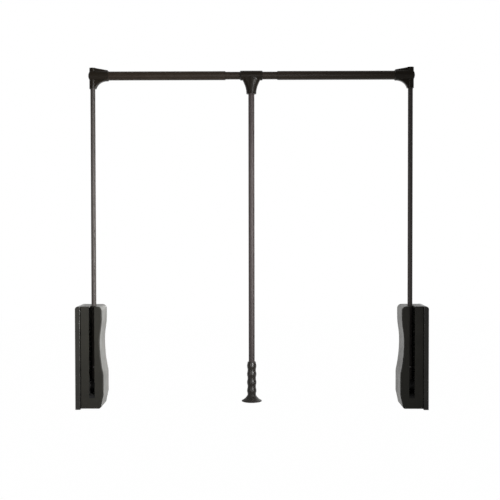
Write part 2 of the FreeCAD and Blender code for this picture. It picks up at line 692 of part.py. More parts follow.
def spring_shape():
    """The lift spring on its own axis, one round wire along quarter-turn arcs."""
    wire, mean = number("spring_wire"), number("spring_radius")
    ends = number("spring_end_turns")
    total = number("spring_turns") + 2 * ends
    limits = (number(spring_foot), number(seat_level), wire, ends, wire + number("spring_end_gap"), total)

    def spot(turns):
        angle = 2 * math.pi * turns
        return FreeCAD.Vector(mean * math.cos(angle), mean * math.sin(angle), spring_height(turns, *limits))

    quarters = round(total * 4)
    edges = [Part.Arc(spot(q / 4), spot((q + 0.5) / 4), spot((q + 1) / 4)).toShape() for q in range(quarters)]
    path = Part.Wire(edges)
    section = Part.Wire(Part.Circle(spot(0), edges[0].tangentAt(edges[0].FirstParameter), wire / 2).toShape())
    heights = [spring_height(q / 4, *limits) for q in range(quarters + 1)]
    gaps = [high - low - wire for low, high in zip(heights, heights[4:])]
    print(f"lift spring, least gap to itself {min(gaps):.2f} mm")
    return path.makePipeShell([section], True, False)


# Lift spring between the cup and the seat
spring = doc.addObject("Part::Feature", "right_lift_spring")
spring.Label = "right_lift_spring"
spring.Shape = spring_shape()
right.append(place(spring, f"{wall_x} - {rack_reach}", spring_y))

# Spring seat across the housing, with the stem's bore
seat = housing_body("right_spring_seat")
seat_sketch = new_sketch(seat, "XY", seat_level)
rectangle(seat_sketch, "-base_floor", f"{spring_y} - cup_radius",
          f"-{rack_reach} - cup_radius - seat_margin", f"{spring_y} + cup_radius")
circle(seat_sketch, "stem_radius + running_gap", f"-{rack_reach}", spring_y)
pad(seat_sketch, "seat_thickness")

# Rack guide, a channel behind the rack
guide = housing_body("right_rack_guide")
near_cheek = f"({rack_reach} - rack_width / 2 - running_gap)"
far_cheek = f"({rack_reach} + rack_width / 2 + running_gap)"
guide_front, guide_rear = f"{rack_back_y} - guide_wrap", f"{rack_back_y} + running_gap + guide_back"
pad(outline(new_sketch(guide, "XY", "guide_foot"), [
    ("-base_floor", guide_front),
    ("-base_floor", guide_rear),
    (f"-{far_cheek} - guide_cheek", guide_rear),
    (f"-{far_cheek} - guide_cheek", guide_front),
    (f"-{far_cheek}", guide_front),
    (f"-{far_cheek}", f"{rack_back_y} + running_gap"),
    (f"-{near_cheek}", f"{rack_back_y} + running_gap"),
    (f"-{near_cheek}", guide_front),
]), "guide_height")

# Elbow: a rounded web with a hollow gusset, a rail sleeve with a domed end and an arm sleeve
elbow = place(new_body("right_elbow"), arm_x, arm_y, "rail_level")
right.append(elbow)
arm_sleeve = "(arm_radius + fit_gap + elbow_wall)"
rail_sleeve = "(rail_radius + fit_gap + elbow_wall)"
dome = "((cap_radius^2 + cap_dome^2) / cap_dome / 2)"
web = outline(new_sketch(elbow, "XZ", "-elbow_web / 2"), [
    ("0", "-elbow_drop"),
    ("0", "elbow_rise"),
    (f"-{arm_sleeve} / 2", "elbow_rise"),
    ("elbow_mouth - elbow_reach", "elbow_rise - elbow_web_slope"),
    ("elbow_mouth - elbow_reach", "0"),
    ("-gusset_reach", "0"),
    ("-gusset_reach", f"-{rail_sleeve}"),
    (f"-{arm_sleeve}", "-elbow_drop", "gusset_round", -1),
])
fillet(pad(web, "elbow_web"), "elbow_round", lambda middle, edge: (
    abs(abs(middle.y) - number("elbow_web / 2")) < number("fit_gap")
    and abs(middle.z) > number(rail_sleeve) and middle.x < -number(arm_sleeve)
))
revolve(outline(new_sketch(elbow, "XZ"), [
    ("-elbow_reach", "0"),
    ("-elbow_reach", f"{rail_sleeve} - elbow_mouth"),
    ("elbow_mouth - elbow_reach", rail_sleeve),
    ("elbow_tail", rail_sleeve),
    ("elbow_tail", "cap_radius"),
    ("cap_reach", "cap_radius"),
    ("cap_reach + cap_dome", "0", dome, -1),
]), "H_Axis")
pad(circle(new_sketch(elbow, "XY", "-elbow_drop"), arm_sleeve), "elbow_drop + elbow_rise")
pocket(circle(new_sketch(elbow, "XY", "-elbow_drop"), "arm_radius + fit_gap"), "arm_socket", along=True)
pocket(circle(new_sketch(elbow, "YZ", "-elbow_reach"), "rail_radius + fit_gap"), "rail_socket", along=True)
screw_places = (
    ("rail_socket / 2 - elbow_reach", "0", "rail_radius", rail_sleeve),
    ("0", "arm_socket / 2 - elbow_drop", "arm_radius", arm_sleeve),
)
for x, z, inside, outside in screw_places:
    pocket(circle(new_sketch(elbow, "XZ", f"-{outside} - overrun"), "set_screw_radius + fit_gap", x, z),
           f"{outside} + overrun - {inside}", along=True)

# Set screws in the elbow, from behind
screws = []
for x, z, inside, outside in screw_places:
    screw = place(new_body("elbow_screw"), arm_x, arm_y, "rail_level")
    pad(circle(new_sketch(screw, "XZ", f"running_gap - {outside}"), "set_screw_radius", x, z),
        f"{outside} - {inside} - running_gap")
    screws.append(screw)
right.append(group("right_elbow_screws", screws))

# Outer rail tube
rail_start = "(tee_length / 2 + inner_show)"
rail_end = f"({arm_x} - elbow_reach + rail_socket)"
rail = tube("right_outer_rail", "YZ", rail_start, "rail_radius", "rail_radius - rail_wall",
            f"{rail_end} - {rail_start}")
right.append(place(rail, "0", arm_y, "rail_level"))

# Glide plug in the end of the inner rail
plug = place(new_body("right_rail_plug"), "inner_length / 2", arm_y, "rail_level")
right.append(plug)
pad(circle(new_sketch(plug, "YZ"), f"{inner_radius} + running_gap / 2"), "plug_head")
pad(circle(new_sketch(plug, "YZ"), f"{inner_radius} - inner_wall - fit_gap"), "plug_depth", back=True)

# The left side, mirrored
nodes = list(right)
for piece in right:
    mirrored = doc.addObject("Part::Mirroring", piece.Label.replace("right", "left"))
    mirrored.Label = piece.Label.replace("right", "left")
    mirrored.Source = piece
    mirrored.Base = FreeCAD.Vector(0, 0, 0)
    mirrored.Normal = FreeCAD.Vector(1, 0, 0)
    nodes.append(mirrored)

# Inner rail tube with the hole of the tee's stop screw below
inner_rail = tube("inner_rail", "YZ", "-inner_length / 2", inner_radius, f"{inner_radius} - inner_wall",
                  "inner_length")
pocket(circle(new_sketch(inner_rail, "XY"), "tee_screw_radius + fit_gap"), f"{inner_radius} + overrun")
nodes.append(place(inner_rail, "0", arm_y, "rail_level"))

# Tee: a sleeve that turns on the inner rail and a flared stem that holds the handle rod
tee_radius = f"({inner_radius} + fit_gap + tee_wall)"
sleeve = new_body("tee_sleeve")
revolve(outline(new_sketch(sleeve, "XZ"), [
    ("-tee_length / 2", "0"),
    ("-tee_length / 2", f"{tee_radius} - tee_chamfer"),
    ("tee_chamfer - tee_length / 2", tee_radius),
    ("tee_length / 2 - tee_chamfer", tee_radius),
    ("tee_length / 2", f"{tee_radius} - tee_chamfer"),
    ("tee_length / 2", "0"),
]), "H_Axis")
sections = []
for level, spread, depth in zip(STEM_LEVEL_SHARES, STEM_SPREAD_SHARES, STEM_DEPTH_SHARES):
    section = doc.addObject("Part::Ellipse", "stem_section")
    section.setExpression("MajorRadius", bound(f"tee_foot_radius + (tee_flare - tee_foot_radius) * {spread}"))
    section.setExpression("MinorRadius", bound(f"tee_depth + (tee_foot_radius - tee_depth) * {depth}"))
    sections.append(place(section, z=f"-tee_drop * {level}"))
stem = doc.addObject("Part::Loft", "tee_stem")
stem.Sections = sections
stem.Solid = True
stem.Ruled = False
tee_blank = doc.addObject("Part::MultiFuse", "tee_blank")
tee_blank.Shapes = [sleeve, stem]
socket_top = "(tee_drop - tee_socket)"
screw_turn = 2 * math.degrees(math.atan2(number("tee_screw_head + running_gap"), number(inner_radius)))
groove = cylinder("tee_groove", "X", f"{inner_radius} + tee_screw_cap + running_gap",
                  "2 * tee_screw_head + 2 * running_gap", "-tee_screw_head - running_gap")
groove.Angle = number("tee_swing_back + tee_swing_front") + screw_turn
groove_start = -90 - number("tee_swing_back") - screw_turn / 2
groove_turn = FreeCAD.Rotation(FreeCAD.Vector(1, 0, 0), groove_start)
groove.Placement.Rotation = groove_turn.multiply(groove.Placement.Rotation)
tee = cut("tee", tee_blank, [
    cylinder("tee_bore", "X", f"{inner_radius} + fit_gap", "tee_length + 2 * overrun",
             "-tee_length / 2 - overrun"),
    cylinder("tee_rod_bore", "Z", "handle_radius + fit_gap", "tee_socket + overrun", z="-tee_drop - overrun"),
    cylinder("tee_screw_bore", "Z", "tee_screw_head + running_gap", f"{socket_top} + overrun",
             z=f"-{socket_top} - overrun"),
    groove,
    cylinder("tee_set_bore", "Y", "set_screw_radius + fit_gap", "tee_foot_radius", z="-handle_screw_drop"),
])
nodes.append(place(tee, "0", arm_y, "rail_level"))

# Stop screw in the inner rail, whose head runs in the tee's groove
tee_screw = place(new_body("tee_screw"), "0", arm_y, "rail_level")
pad(circle(new_sketch(tee_screw, "XY", f"-{inner_radius}"), "tee_screw_radius"), "tee_screw_length")
pad(circle(new_sketch(tee_screw, "XY", f"-{inner_radius}"), "tee_screw_head"), "tee_screw_cap", back=True)
nodes.append(tee_screw)

# Handle rod, with the hole of its screw behind
rod_foot = "(grip_floor - handle_drop)"
handle = tube("handle_rod", "XY", rod_foot, "handle_radius", "handle_radius - handle_wall",
              f"-{socket_top} - {rod_foot}")
screw_hole = new_sketch(handle, "XZ", "-handle_radius - overrun")
circle(screw_hole, "set_screw_radius + fit_gap", "0", "-handle_screw_drop")
pocket(screw_hole, "handle_radius", along=True)
nodes.append(place(handle, "0", arm_y, "rail_level"))
handle_screw = new_body("handle_screw")
screw_sketch = new_sketch(handle_screw, "XZ", "running_gap - tee_depth")
pad(circle(screw_sketch, "set_screw_radius", "0", "-handle_screw_drop"),
    "tee_depth - handle_radius + handle_wall - running_gap")
nodes.append(place(handle_screw, "0", arm_y, "rail_level"))

# Grip: swells and necks above a flared foot, with a blind bore for the rod
grip = place(new_body("handle_grip"), "0", arm_y, "rail_level - handle_drop")
swell_pitch = "((grip_length - grip_foot_height) / grip_swells)"
swell_bend = f"((({swell_pitch} / 2)^2 + (grip_swell - grip_neck)^2) / (grip_swell - grip_neck) / 4)"
points = [
    ("0", "0"),
    ("grip_rim", "0"),
    ("grip_rim", "grip_rim_height"),
    ("grip_neck", "grip_foot_height", "grip_hollow", -1),
]
for swell in range(round(number("grip_swells"))):
    low = f"grip_foot_height + {swell_pitch} * {swell}"
    middle = "(grip_neck + grip_swell) / 2"
    points += [
        (middle, f"{low} + {swell_pitch} / 4", swell_bend, -1),
        ("grip_swell", f"{low} + {swell_pitch} / 2", swell_bend, 1),
        (middle, f"{low} + {swell_pitch} * 3 / 4", swell_bend, 1),
        ("grip_neck", f"{low} + {swell_pitch}", swell_bend, -1),
    ]
points.append(("0", "grip_length"))
revolve(outline(new_sketch(grip, "XZ"), points), "V_Axis")
pocket(circle(new_sketch(grip, "XY", "grip_length"), "handle_radius + fit_gap"), "grip_length - grip_floor")
nodes.append(grip)

doc.recompute()
for thing in doc.Objects:
    if "Invalid" in thing.State or "Error" in thing.State:
        raise RuntimeError(f"{thing.Label} failed: {thing.State}")
os.makedirs("parts", exist_ok=True)
for node in nodes:
    if not node.Shape.isValid() or not node.Shape.Solids:
        raise RuntimeError(f"{node.Label} is not a valid solid")
    node.Shape.exportStep(f"parts/{node.Label}.step")
    print(f"{node.Label}: {len(node.Shape.Solids)} solid(s), {node.Shape.Volume / 1000:.2f} cm3")
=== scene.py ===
import math

import bmesh
import bpy
from mathutils import Matrix, Vector


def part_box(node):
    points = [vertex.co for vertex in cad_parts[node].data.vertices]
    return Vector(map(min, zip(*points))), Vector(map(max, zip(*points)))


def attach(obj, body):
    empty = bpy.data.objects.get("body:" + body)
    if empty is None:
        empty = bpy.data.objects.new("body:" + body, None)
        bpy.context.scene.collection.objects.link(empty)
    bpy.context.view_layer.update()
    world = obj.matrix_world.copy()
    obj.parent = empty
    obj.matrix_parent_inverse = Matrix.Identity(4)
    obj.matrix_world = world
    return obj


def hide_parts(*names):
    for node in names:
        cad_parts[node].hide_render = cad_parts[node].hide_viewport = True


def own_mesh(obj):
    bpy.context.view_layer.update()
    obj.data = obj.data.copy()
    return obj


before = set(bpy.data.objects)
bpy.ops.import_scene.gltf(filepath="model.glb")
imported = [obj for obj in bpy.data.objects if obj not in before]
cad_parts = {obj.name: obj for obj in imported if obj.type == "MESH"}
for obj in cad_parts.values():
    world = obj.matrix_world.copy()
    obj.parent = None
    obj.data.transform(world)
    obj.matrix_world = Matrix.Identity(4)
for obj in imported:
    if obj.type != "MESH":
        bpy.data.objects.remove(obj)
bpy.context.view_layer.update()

# Wall bases: shallow trays of dark moulded plastic, screwed to the wardrobe's sides, with a round upper corner.
# The mould leaves a fine spark-eroded grain, and the upper rim collects a little dust.
SIDES = ("left", "right")


def shader_group(name, inputs, outputs):
    """An empty shader group with float inputs and outputs."""
    group = bpy.data.node_groups.new(name, "ShaderNodeTree")
    for label, value in inputs:
        group.interface.new_socket(label, in_out="INPUT", socket_type="NodeSocketFloat").default_value = value
    for label in outputs:
        group.interface.new_socket(label, in_out="OUTPUT", socket_type="NodeSocketFloat")
    return group, group.nodes.new("NodeGroupInput"), group.nodes.new("NodeGroupOutput")


def add_node(tree, kind, links=(), **values):
    """A node with socket values by name and links (source socket, input name) into it."""
    node = tree.nodes.new(kind)
    for name, value in values.items():
        if name in node.bl_rna.properties:
            setattr(node, name, value)
        else:
            node.inputs[name.replace("_", " ")].default_value = value
    for source, name in links:
        tree.links.new(source, node.inputs[name])
    return node


def remap(tree, source, low, high, out_low=0.0, out_high=1.0):
    """A value spread from one range to another, smooth at both ends."""
    node = tree.nodes.new("ShaderNodeMapRange")
    node.interpolation_type = "SMOOTHSTEP"
    tree.links.new(source, node.inputs["Value"])
    for name, value in (("From Min", low), ("From Max", high), ("To Min", out_low), ("To Max", out_high)):
        node.inputs[name].default_value = value
    return node.outputs["Result"]


def calc(tree, operation, first, second):
    """One arithmetic step on sockets or numbers."""
    node = tree.nodes.new("ShaderNodeMath")
    node.operation = operation
    for index, value in enumerate((first, second)):
        if isinstance(value, (int, float)):
            node.inputs[index].default_value = value
        else:
            tree.links.new(value, node.inputs[index])
    return node.outputs["Value"]


def blend_colour(tree, factor, first, second):
    """One colour laid over another by a mask."""
    node = tree.nodes.new("ShaderNodeMix")
    node.data_type = "RGBA"
    tree.links.new(factor, node.inputs["Factor"])
    for index, value in ((6, first), (7, second)):
        if isinstance(value, tuple):
            node.inputs[index].default_value = (*value, 1)
        else:
            tree.links.new(value, node.inputs[index])
    return node.outputs[2]


# Grain of a spark-eroded mould: fine pits, a slow mottle and rare rubbed spots
grain_group, grain_in, grain_out = shader_group(
    "moulded_grain", [("Pit Scale", 1500.0), ("Mottle Scale", 22.0)], ["Height", "Mottle", "Rub"])
place = grain_group.nodes.new("ShaderNodeTexCoord").outputs["Object"]
pits = add_node(grain_group, "ShaderNodeTexVoronoi", [(place, "Vector"), (grain_in.outputs["Pit Scale"], "Scale")])
fuzz = add_node(grain_group, "ShaderNodeTexNoise", [(place, "Vector"), (grain_in.outputs["Pit Scale"], "Scale")],
                Detail=2.0)
mottle = add_node(grain_group, "ShaderNodeTexNoise",
                  [(place, "Vector"), (grain_in.outputs["Mottle Scale"], "Scale")], Detail=5.0, Roughness=0.62)
rub = add_node(grain_group, "ShaderNodeTexNoise", [(place, "Vector")], Scale=63.0, Detail=6.0, Roughness=0.7)
height = calc(grain_group, "ADD", pits.outputs["Distance"], fuzz.outputs["Fac"])
grain_group.links.new(height, grain_out.inputs["Height"])
grain_group.links.new(remap(grain_group, mottle.outputs["Fac"], 0.3, 0.7), grain_out.inputs["Mottle"])
grain_group.links.new(remap(grain_group, rub.outputs["Fac"], 0.6, 0.78), grain_out.inputs["Rub"])

# Dust that settles on what faces up
dust_group, dust_in, dust_out = shader_group("settled_dust", [("Amount", 0.3)], ["Mask"])
whereabouts = dust_group.nodes.new("ShaderNodeTexCoord")
place = whereabouts.outputs["Object"]
facing = dust_group.nodes.new("ShaderNodeSeparateXYZ")
dust_group.links.new(whereabouts.outputs["Normal"], facing.inputs[0])
film = add_node(dust_group, "ShaderNodeTexNoise", [(place, "Vector")], Scale=140.0, Detail=6.0, Roughness=0.7)
specks = add_node(dust_group, "ShaderNodeTexVoronoi", [(place, "Vector")], Scale=420.0)
upward = remap(dust_group, facing.outputs["Z"], 0.55, 0.98)
speckle = remap(dust_group, specks.outputs["Distance"], 0.22, 0.08)
cover = calc(dust_group, "ADD", remap(dust_group, film.outputs["Fac"], 0.35, 0.75, 0.0, 0.7), speckle)
mask = calc(dust_group, "MULTIPLY", calc(dust_group, "MULTIPLY", upward, cover), dust_in.outputs["Amount"])
dust_group.links.new(mask, dust_out.inputs["Mask"])


dust_on_plastic = (0.30, 0.29, 0.27)
rub_share = 0.35


def moulded_plastic(name, tint, shade, roughness, specular, pit_scale, pit_depth, dust):
    """Moulded plastic: two near colours in a slow mottle, pits in the surface, rubbed spots and dust."""
    material = bpy.data.materials.new(name)
    material.use_nodes = True
    tree = material.node_tree
    surface = tree.nodes["Principled BSDF"]
    grain = add_node(tree, "ShaderNodeGroup", node_tree=grain_group)
    grain.inputs["Pit Scale"].default_value = pit_scale
    settled = add_node(tree, "ShaderNodeGroup", node_tree=dust_group)
    settled.inputs["Amount"].default_value = dust
    colour = blend_colour(tree, grain.outputs["Mottle"], shade, tint)
    rubbed = tuple(min(1.0, channel * 1.5 + 0.004) for channel in tint)
    colour = blend_colour(tree, calc(tree, "MULTIPLY", grain.outputs["Rub"], rub_share), colour, rubbed)
    colour = blend_colour(tree, settled.outputs["Mask"], colour, dust_on_plastic)
    tree.links.new(colour, surface.inputs["Base Color"])
    gloss = remap(tree, grain.outputs["Mottle"], 0.0, 1.0, roughness + 0.05, roughness - 0.03)
    gloss = calc(tree, "SUBTRACT", gloss, calc(tree, "MULTIPLY", grain.outputs["Rub"], 0.08))
    gloss = calc(tree, "ADD", gloss, calc(tree, "MULTIPLY", settled.outputs["Mask"], 0.4))
    tree.links.new(gloss, surface.inputs["Roughness"])
    pitted = add_node(tree, "ShaderNodeBump", [(grain.outputs["Height"], "Height")], Strength=0.5, Distance=pit_depth)
    tree.links.new(pitted.outputs["Normal"], surface.inputs["Normal"])
    surface.inputs["Specular IOR Level"].default_value = specular
    return material


def dress(material, *names):
    """Gives CAD nodes their finish."""
    for name in names:
        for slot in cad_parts[name].material_slots:
            slot.material = material


base_plastic = moulded_plastic("base_dark_plastic", tint=(0.028, 0.027, 0.024), shade=(0.021, 0.02, 0.018),
                               roughness=0.28, specular=0.5, pit_scale=1500.0, pit_depth=0.000012, dust=0.3)
corner_round = 0.007
corner_steps = 10
sharp_angle = math.radians(30)
weld_distance = 1e-6
cut_slack = 1e-7


def new_piece(name, mesh_maker, material, body):
    """An object at the origin whose mesh is already in place, carried by a body."""
    bm = bmesh.new()
    mesh_maker(bm)
    bmesh.ops.recalc_face_normals(bm, faces=bm.faces)
    mesh = bpy.data.meshes.new(name)
    bm.to_mesh(mesh)
    bm.free()
    piece = bpy.data.objects.new(name, mesh)
    bpy.context.scene.collection.objects.link(piece)
    piece.data.materials.append(material)
    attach(piece, body)
    return piece


def round_upper_corner(bm, side):
    """The tray as the frame has it, its upper corner at the wall cut to a fuller round."""
    bm.from_mesh(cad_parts[f"{side}_wall_base"].data)
    bmesh.ops.remove_doubles(bm, verts=bm.verts, dist=weld_distance)
    low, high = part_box(f"{side}_wall_base")
    wall, inwards = (low.x, 1) if side == "left" else (high.x, -1)
    heart = Vector((wall + inwards * corner_round, 0, high.z - corner_round))
    for step in range(corner_steps):
        angle = math.radians(90) * (step + 0.5) / corner_steps
        outward = Vector((-inwards * math.sin(angle), 0, math.cos(angle)))
        trimmed = bmesh.ops.bisect_plane(bm, geom=bm.verts[:] + bm.edges[:] + bm.faces[:], dist=cut_slack,
                                         clear_outer=True, plane_co=heart + outward * corner_round, plane_no=outward)
        rim = [part for part in trimmed["geom_cut"] if isinstance(part, bmesh.types.BMEdge)]
        bmesh.ops.contextual_create(bm, geom=rim)
    bm.normal_update()
    for face in bm.faces:
        face.smooth = max(abs(turn) for turn in face.normal) < 0.9999
    for edge in bm.edges:
        edge.smooth = edge.calc_face_angle(math.pi) < sharp_angle


for side in SIDES:
    base = new_piece(f"{side}_rounded_base", lambda bm: round_upper_corner(bm, side), base_plastic,
                     f"{side}_housing")
    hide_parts(f"{side}_wall_base")

# Part of that grey is painted reflection: it stands for the pale studio that the sides mirror at a grazing angle.
# Casings: the wavy shells that close the mechanism, moulded in a lighter grey of the same plastic.
# Each slides over its base and takes two screws from below.
casing_grey_and_sheen = moulded_plastic("casing_grey_and_painted_sheen", tint=(0.18, 0.177, 0.164), shade=(0.148, 0.145, 0.134),
                                 roughness=0.4, specular=0.2, pit_scale=1900.0, pit_depth=0.00002, dust=0.12)
dress(casing_grey_and_sheen, *(f"{side}_casing" for side in SIDES))

# Front covers: dark matt plates with the long arm slot, pressed into the casings by a tongue.
# Their grain is coarser than the casing's, so they stay dull from the front.
cover_plastic = moulded_plastic("cover_matt_plastic", tint=(0.021, 0.0198, 0.0155), shade=(0.016, 0.0152, 0.0117),
                                roughness=0.5, specular=0.3, pit_scale=1300.0, pit_depth=0.00007, dust=0.2)
dress(cover_plastic, *(f"{side}_front_cover" for side in SIDES))

# Rubber rests and stops: black moulded rubber in the slot, behind the raised arm and at the slot's foot.
# Matt, with a bloom on the faces that the arm doesn't rub.
rubber = moulded_plastic("black_rubber", tint=(0.009, 0.009, 0.009), shade=(0.006, 0.006, 0.006),
                         roughness=0.75, specular=0.25, pit_scale=900.0, pit_depth=0.00008, dust=0.04)
dress(rubber, *(f"{side}_{name}" for side in SIDES for name in ("rest_bumper", "slot_bumper")))

# Casing screws: small zinc-plated screws from below, with a slot across the head.
# The heads are turned, so they have a rounded edge.
streak_group, streak_in, streak_out = shader_group(
    "drawn_streaks", [("Across", 900.0), ("Along", 9.0), ("Upright", 0.0)], ["Streak", "Stain"])
place = streak_group.nodes.new("ShaderNodeTexCoord").outputs["Object"]
level_scale = streak_group.nodes.new("ShaderNodeCombineXYZ")
upright_scale = streak_group.nodes.new("ShaderNodeCombineXYZ")
for scale, long_axis in ((level_scale, "X"), (upright_scale, "Z")):
    for axis in "XYZ":
        source = "Along" if axis == long_axis else "Across"
        streak_group.links.new(streak_in.outputs[source], scale.inputs[axis])
chosen = streak_group.nodes.new("ShaderNodeMix")
chosen.data_type = "VECTOR"
streak_group.links.new(streak_in.outputs["Upright"], chosen.inputs["Factor"])
streak_group.links.new(level_scale.outputs[0], chosen.inputs[4])
streak_group.links.new(upright_scale.outputs[0], chosen.inputs[5])
stretched = streak_group.nodes.new("ShaderNodeVectorMath")
stretched.operation = "MULTIPLY"
streak_group.links.new(place, stretched.inputs[0])
streak_group.links.new(chosen.outputs[1], stretched.inputs[1])
drawn = add_node(streak_group, "ShaderNodeTexNoise", [(stretched.outputs[0], "Vector")], Scale=1.0, Detail=4.0)
stain = add_node(streak_group, "ShaderNodeTexNoise", [(place, "Vector")], Scale=46.0, Detail=5.0, Roughness=0.65)
streak_group.links.new(remap(streak_group, drawn.outputs["Fac"], 0.3, 0.7), streak_out.inputs["Streak"])
streak_group.links.new(remap(streak_group, stain.outputs["Fac"], 0.38, 0.72), streak_out.inputs["Stain"])


def bare_metal(name, tint, shade, roughness, upright, across, depth):
    """Bare or plated metal: streaks from drawing or turning, and a dull stain."""
    material = bpy.data.materials.new(name)
    material.use_nodes = True
    tree = material.node_tree
    surface = tree.nodes["Principled BSDF"]
    surface.inputs["Metallic"].default_value = 1.0
    streaks = add_node(tree, "ShaderNodeGroup", node_tree=streak_group)
    streaks.inputs["Across"].default_value = across
    streaks.inputs["Upright"].default_value = upright
    colour = blend_colour(tree, streaks.outputs["Streak"], shade, tint)
    dull = tuple(channel * 0.62 for channel in shade)
    colour = blend_colour(tree, calc(tree, "MULTIPLY", streaks.outputs["Stain"], 0.5), colour, dull)
    tree.links.new(colour, surface.inputs["Base Color"])
    gloss = remap(tree, streaks.outputs["Streak"], 0.0, 1.0, roughness + 0.06, roughness - 0.05)
    gloss = calc(tree, "ADD", gloss, calc(tree, "MULTIPLY", streaks.outputs["Stain"], 0.14))
    tree.links.new(gloss, surface.inputs["Roughness"])
    scored = add_node(tree, "ShaderNodeBump", [(streaks.outputs["Streak"], "Height")], Strength=0.4, Distance=depth)
    tree.links.new(scored.outputs["Normal"], surface.inputs["Normal"])
    return material


zinc = bare_metal("zinc_plated_steel", tint=(0.58, 0.58, 0.56), shade=(0.46, 0.46, 0.45),
                  roughness=0.32, upright=1.0, across=2600.0, depth=0.00002)
shank_radius = 0.0015
tip_share = 0.8
head_radius = 0.0027
head_height = 0.0018
rim_share = 0.55
slot_width = 0.0007
slot_depth = 0.0007


def slotted_screws(bm, spots, length):
    """Screws that point up from spots, each spun in one piece, with a rounded head and a slot across it."""
    for spot in spots:
        before = set(bm.verts)
        under = spot.z - head_height
        outline = ((0, length), (shank_radius * tip_share, length), (shank_radius, 0),
                   (head_radius, 0), (head_radius, -head_height), (0, -head_height))
        points = [bm.verts.new(spot + Vector((reach, 0, rise))) for reach, rise in outline]
        sides = [bm.edges.new(pair) for pair in zip(points, points[1:])]
        bmesh.ops.spin(bm, geom=points + sides, cent=spot, axis=(0, 0, 1), angle=2 * math.pi, steps=32, use_merge=True)
        bmesh.ops.remove_doubles(bm, verts=[vert for vert in bm.verts if vert not in before], dist=weld_distance)
        rim = [edge for edge in bm.edges
               if all(vert not in before and abs(vert.co.z - under) < weld_distance
                      and (vert.co - spot).xy.length > head_radius * 0.99 for vert in edge.verts)]
        bmesh.ops.bevel(bm, geom=rim, offset=head_height * rim_share, segments=4, profile=0.5, affect="EDGES",
                        material=-1)
        for side in (-1, 1):
            flat = [face for face in bm.faces
                    if all(vert not in before and abs(vert.co.z - under) < weld_distance for vert in face.verts)]
            edges = {edge for face in flat for edge in face.edges}
            corners = {vert for face in flat for vert in face.verts}
            bmesh.ops.bisect_plane(bm, geom=flat + list(edges) + list(corners), dist=cut_slack,
                                   plane_co=spot + Vector((0, side * slot_width / 2, 0)), plane_no=(0, side, 0))
        strip = [face for face in bm.faces
                 if all(vert not in before and abs(vert.co.z - under) < weld_distance
                        and abs(vert.co.y - spot.y) < slot_width * 0.51 for vert in face.verts)]
        sunk = bmesh.ops.extrude_face_region(bm, geom=strip)
        bmesh.ops.translate(bm, vec=(0, 0, slot_depth),
                            verts=[part for part in sunk["geom"] if isinstance(part, bmesh.types.BMVert)])
        bmesh.ops.delete(bm, geom=strip, context="FACES")


for side in SIDES:
    low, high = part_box(f"{side}_casing_screws")
    middle = (low.x + high.x) / 2
    spots = [Vector((middle, y, low.z + head_height)) for y in (low.y + head_radius, high.y - head_radius)]
    screws = new_piece(f"{side}_slotted_screws",
                       lambda bm: slotted_screws(bm, spots, high.z - low.z - head_height),
                       zinc, f"{side}_housing")
    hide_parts(f"{side}_casing_screws")

# Pivot axles and arm pins: ground steel, plated. The axles sit in bosses of base and casing.
# They are only seen through the slot.
dress(zinc, *(f"{side}_{name}" for side in SIDES for name in ("pivot_axle", "arm_pin")))

# Hub bushes, rack guides, spring seats and rail plugs: black nylon, cut clean, a little waxy.
# They carry the moving pieces without grease.
# Their black is also painted shade for where they show in the slot.
nylon_black_and_shade = moulded_plastic("nylon_black_and_painted_shade", tint=(0.017, 0.0165, 0.016), shade=(0.012, 0.0118, 0.0115),
                        roughness=0.48, specular=0.4, pit_scale=700.0, pit_depth=0.00003, dust=0.1)
dress(nylon_black_and_shade, *(f"{side}_{name}" for side in SIDES
               for name in ("hub_bushes", "rack_guide", "spring_seat", "rail_plug")))

# Arm hubs and pinions: zinc alloy castings, dipped black. The hub's hexagon carries the pinion.
# The cast skin shows through the coat as a coarse dull grain.
# Their black is also painted shade, standing for the dark inside the slot.
black_and_shade_casting = moulded_plastic("casting_black_and_painted_shade", tint=(0.022, 0.0215, 0.021), shade=(0.014, 0.0138, 0.0135),
                                roughness=0.5, specular=0.4, pit_scale=420.0, pit_depth=0.00008, dust=0.1)
dress(black_and_shade_casting, *(f"{side}_{name}" for side in SIDES for name in ("arm_hub", "lift_pinion")))

# Spring racks: cut steel bars with a cup and a guide stem, blackened and oiled.
# The pinion drives them up against the springs as the rail comes down.
# Their dark tint is also painted shade for where they show in the slot.
rack_black_and_shade = bare_metal("steel_black_and_painted_shade", tint=(0.085, 0.083, 0.08), shade=(0.055, 0.054, 0.052),
                         roughness=0.4, upright=1.0, across=1400.0, depth=0.00004)
dress(rack_black_and_shade, *(f"{side}_spring_rack" for side in SIDES))

# Lift springs: oil-hardened round wire, wound with close turns at both ends.
# The rack pushes the lower end up, so the coils close towards the seat.
spring_wire = 0.0035
end_turns = 1
open_turns = 8
end_pitch = 0.0042
wire_sides = 12
steps_per_turn = 28
oiled_wire = bare_metal("oiled_spring_wire", tint=(0.2, 0.19, 0.18), shade=(0.11, 0.105, 0.1),
                        roughness=0.34, upright=0.0, across=1800.0, depth=0.00002)


